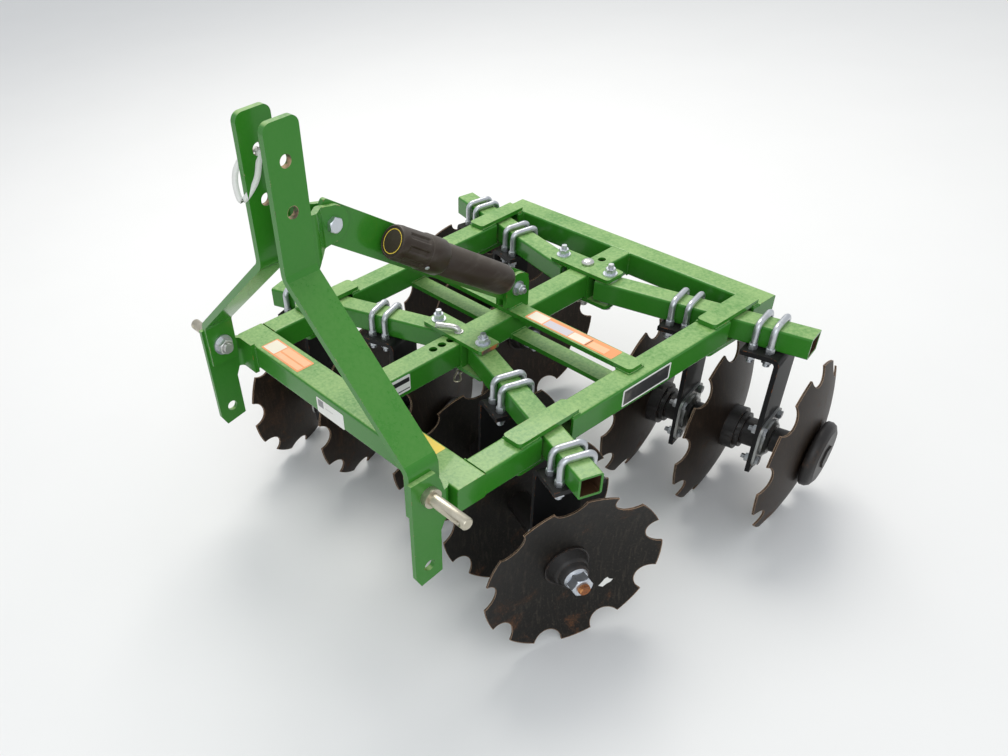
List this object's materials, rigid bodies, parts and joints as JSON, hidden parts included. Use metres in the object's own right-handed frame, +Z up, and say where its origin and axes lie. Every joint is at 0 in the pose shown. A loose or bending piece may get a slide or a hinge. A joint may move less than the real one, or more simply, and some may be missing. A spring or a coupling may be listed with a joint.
{
  "type": "mounted tandem disc harrow",
  "caption": "Compact tandem disc harrow for a three-point hitch: a welded tube frame with a mast, and four angled gangs of notched discs that spin.",
  "frame": {"origin": "on the ground, under the middle of the machine's length and width", "axes": "+Z up, -Y forward towards the tractor, +X to the machine's left side"},
  "size_m": [1.1246, 1.032, 0.964],
  "materials": {
    "green_paint": "gloss",
    "black_paint": "satin",
    "zinc": "satin",
    "bearing_steel": "satin",
    "yellow_zinc": "satin",
    "cast_grey": "satin",
    "disc_steel": "rusty",
    "grey_plastic": "matte"
  },
  "bodies": {
    "frame": {"front_tube": "green_paint", "rear_tube": "green_paint", "centre_tube": "green_paint", "side_rails": "green_paint", "slot_plates": "green_paint", "upper_strap": "green_paint", "lower_strap": "green_paint", "hitch_lugs": "green_paint", "hitch_pins": "yellow_zinc", "mast_uprights": "green_paint", "brace_bar": "green_paint", "brace_bracket": "green_paint", "brace_bolts": "zinc", "manual_canister": "grey_plastic", "canister_cap": "grey_plastic"},
    "front_bracket": {"front_angle_bracket": "green_paint", "front_pivot_bolts": "zinc", "front_adjusting_pin": "yellow_zinc"},
    "rear_bracket": {"rear_angle_bracket": "green_paint", "rear_pivot_bolts": "zinc", "rear_adjusting_pin": "yellow_zinc"},
    "front_left_hanger": {"front_left_beam": "green_paint", "front_left_hangers": "black_paint", "front_left_u_bolts": "zinc", "front_left_bearings": "bearing_steel"},
    "front_left_gang": {"front_left_axle": "cast_grey", "front_left_discs": "disc_steel"},
    "front_right_hanger": {"front_right_beam": "green_paint", "front_right_hangers": "black_paint", "front_right_u_bolts": "zinc", "front_right_bearings": "bearing_steel"},
    "front_right_gang": {"front_right_axle": "cast_grey", "front_right_discs": "disc_steel"},
    "rear_left_hanger": {"rear_left_beam": "green_paint", "rear_left_hangers": "black_paint", "rear_left_u_bolts": "zinc", "rear_left_bearings": "bearing_steel"},
    "rear_left_gang": {"rear_left_axle": "cast_grey", "rear_left_discs": "disc_steel"},
    "rear_right_hanger": {"rear_right_beam": "green_paint", "rear_right_hangers": "black_paint", "rear_right_u_bolts": "zinc", "rear_right_bearings": "bearing_steel"},
    "rear_right_gang": {"rear_right_axle": "cast_grey", "rear_right_discs": "disc_steel"}
  },
  "joints": [
    {"name": "front_angle_slide", "type": "slide", "parent": "frame", "child": "front_bracket", "axis": [0, 1, 0], "range_m": [-0.0675, 0]},
    {"name": "rear_angle_slide", "type": "slide", "parent": "frame", "child": "rear_bracket", "axis": [0, 1, 0], "range_m": [0, 0.045]},
    {"name": "front_left_angle", "type": "hinge", "parent": "front_bracket", "child": "front_left_hanger", "pos_m": [0.064, -0.11204, 0.4086], "axis": [0, 0, 1], "range_deg": [0, 14.74]},
    {"name": "front_left_spin", "type": "hinge", "parent": "front_left_hanger", "child": "front_left_gang", "pos_m": [0.064, -0.11204, 0.178], "axis": [0.9459, -0.3246, 0], "continuous": true},
    {"name": "front_right_angle", "type": "hinge", "parent": "front_bracket", "child": "front_right_hanger", "pos_m": [-0.064, -0.11204, 0.4086], "axis": [0, 0, 1], "range_deg": [-14.74, 0]},
    {"name": "front_right_spin", "type": "hinge", "parent": "front_right_hanger", "child": "front_right_gang", "pos_m": [-0.064, -0.11204, 0.178], "axis": [-0.9459, -0.3246, 0], "continuous": true},
    {"name": "rear_left_angle", "type": "hinge", "parent": "rear_bracket", "child": "rear_left_hanger", "pos_m": [0.064, 0.24696, 0.4086], "axis": [0, 0, 1], "range_deg": [-10.11, 0]},
    {"name": "rear_left_spin", "type": "hinge", "parent": "rear_left_hanger", "child": "rear_left_gang", "pos_m": [0.064, 0.24696, 0.178], "axis": [0.9763, 0.2162, 0], "continuous": true},
    {"name": "rear_right_angle", "type": "hinge", "parent": "rear_bracket", "child": "rear_right_hanger", "pos_m": [-0.064, 0.24696, 0.4086], "axis": [0, 0, 1], "range_deg": [0, 10.11]},
    {"name": "rear_right_spin", "type": "hinge", "parent": "rear_right_hanger", "child": "rear_right_gang", "pos_m": [-0.064, 0.24696, 0.178], "axis": [-0.9763, 0.2162, 0], "continuous": true}
  ],
  "couplings": [
    {"joint": "front_left_angle", "follows": "front_angle_slide", "rad_per_m": -3.806},
    {"joint": "front_right_angle", "follows": "front_angle_slide", "rad_per_m": 3.806},
    {"joint": "rear_left_angle", "follows": "rear_angle_slide", "rad_per_m": -3.913},
    {"joint": "rear_right_angle", "follows": "rear_angle_slide", "rad_per_m": 3.913}
  ]
}
